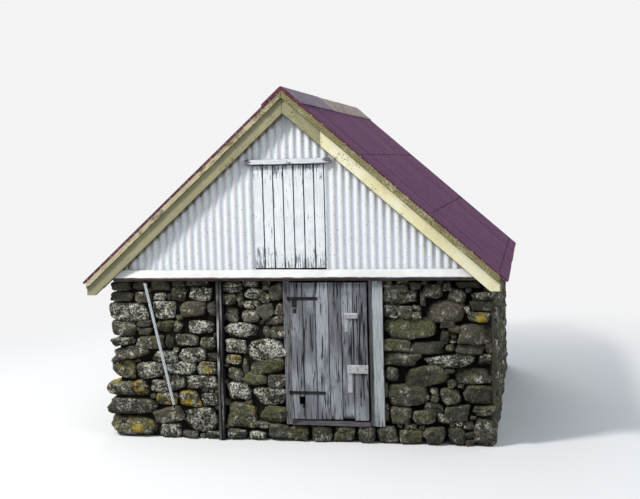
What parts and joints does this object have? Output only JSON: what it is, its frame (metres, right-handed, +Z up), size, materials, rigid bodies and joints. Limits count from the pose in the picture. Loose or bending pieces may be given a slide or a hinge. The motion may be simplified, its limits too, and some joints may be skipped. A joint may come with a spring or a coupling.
{
  "type": "stone barn",
  "caption": "Small dry-stone barn with a corrugated iron gable roof, a plank door on strap hinges and a boarded loft hatch in the white gable.",
  "frame": {"origin": "under the ridge, halfway along the roof, level with the foot of the walls", "axes": "+Z up, +Y from the door gable to the back gable, +X towards the side with the door casing"},
  "size_m": [4.162, 4.2672, 3.4202],
  "materials": {
    "dry_stone": "rough, with lichen",
    "grey_timber": "weathered, unpainted",
    "roof_timber": "sawn",
    "maroon_iron": "matt paint",
    "yellow_boards": "worn pale yellow paint",
    "white_iron": "matt paint, rusty at cut edges",
    "white_boards": "flaking paint",
    "rope": "laid rope",
    "dark_iron": "rusty",
    "latch_metal": "worn"
  },
  "bodies": {
    "barn": {"front_wall_left": "dry_stone", "front_wall_middle": "dry_stone", "front_wall_right": "dry_stone", "left_wall": "dry_stone", "right_wall": "dry_stone", "back_wall": "dry_stone", "door_foundation": "dry_stone", "wall_post": "grey_timber", "corner_batten": "grey_timber", "door_jambs": "grey_timber", "door_casing": "grey_timber", "door_sill": "grey_timber", "front_beam": "grey_timber", "back_beam": "grey_timber", "wall_plates": "roof_timber", "loft_joists": "roof_timber", "loft_floor": "roof_timber", "rafters": "roof_timber", "ridge_board": "roof_timber", "purlins": "roof_timber", "gable_posts": "roof_timber", "hatch_ledges": "roof_timber", "roof_sheets_left": "maroon_iron", "roof_sheets_right": "maroon_iron", "ridge_cap": "maroon_iron", "front_bargeboards": "yellow_boards", "back_bargeboards": "yellow_boards", "front_verge_boards": "yellow_boards", "back_verge_boards": "yellow_boards", "front_cladding_left": "white_iron", "front_cladding_right": "white_iron", "front_cladding_top": "white_iron", "back_cladding": "white_iron", "hatch_boards": "white_boards", "hatch_head_trim": "white_boards", "front_drip_board": "white_boards", "back_drip_board": "white_boards", "tie_down": "rope", "tie_down_eyes": "dark_iron", "hinge_pintles": "dark_iron"},
    "door": {"door_planks": "grey_timber", "door_ledges": "grey_timber", "strap_hinges": "dark_iron", "upper_latch": "latch_metal", "lower_latch": "latch_metal"}
  },
  "joints": [
    {"name": "door_hinge", "type": "hinge", "parent": "barn", "child": "door", "pos_m": [-0.014, -2.0306, 0.9], "axis": [0, 0, -1], "range_deg": [0, 110]}
  ]
}
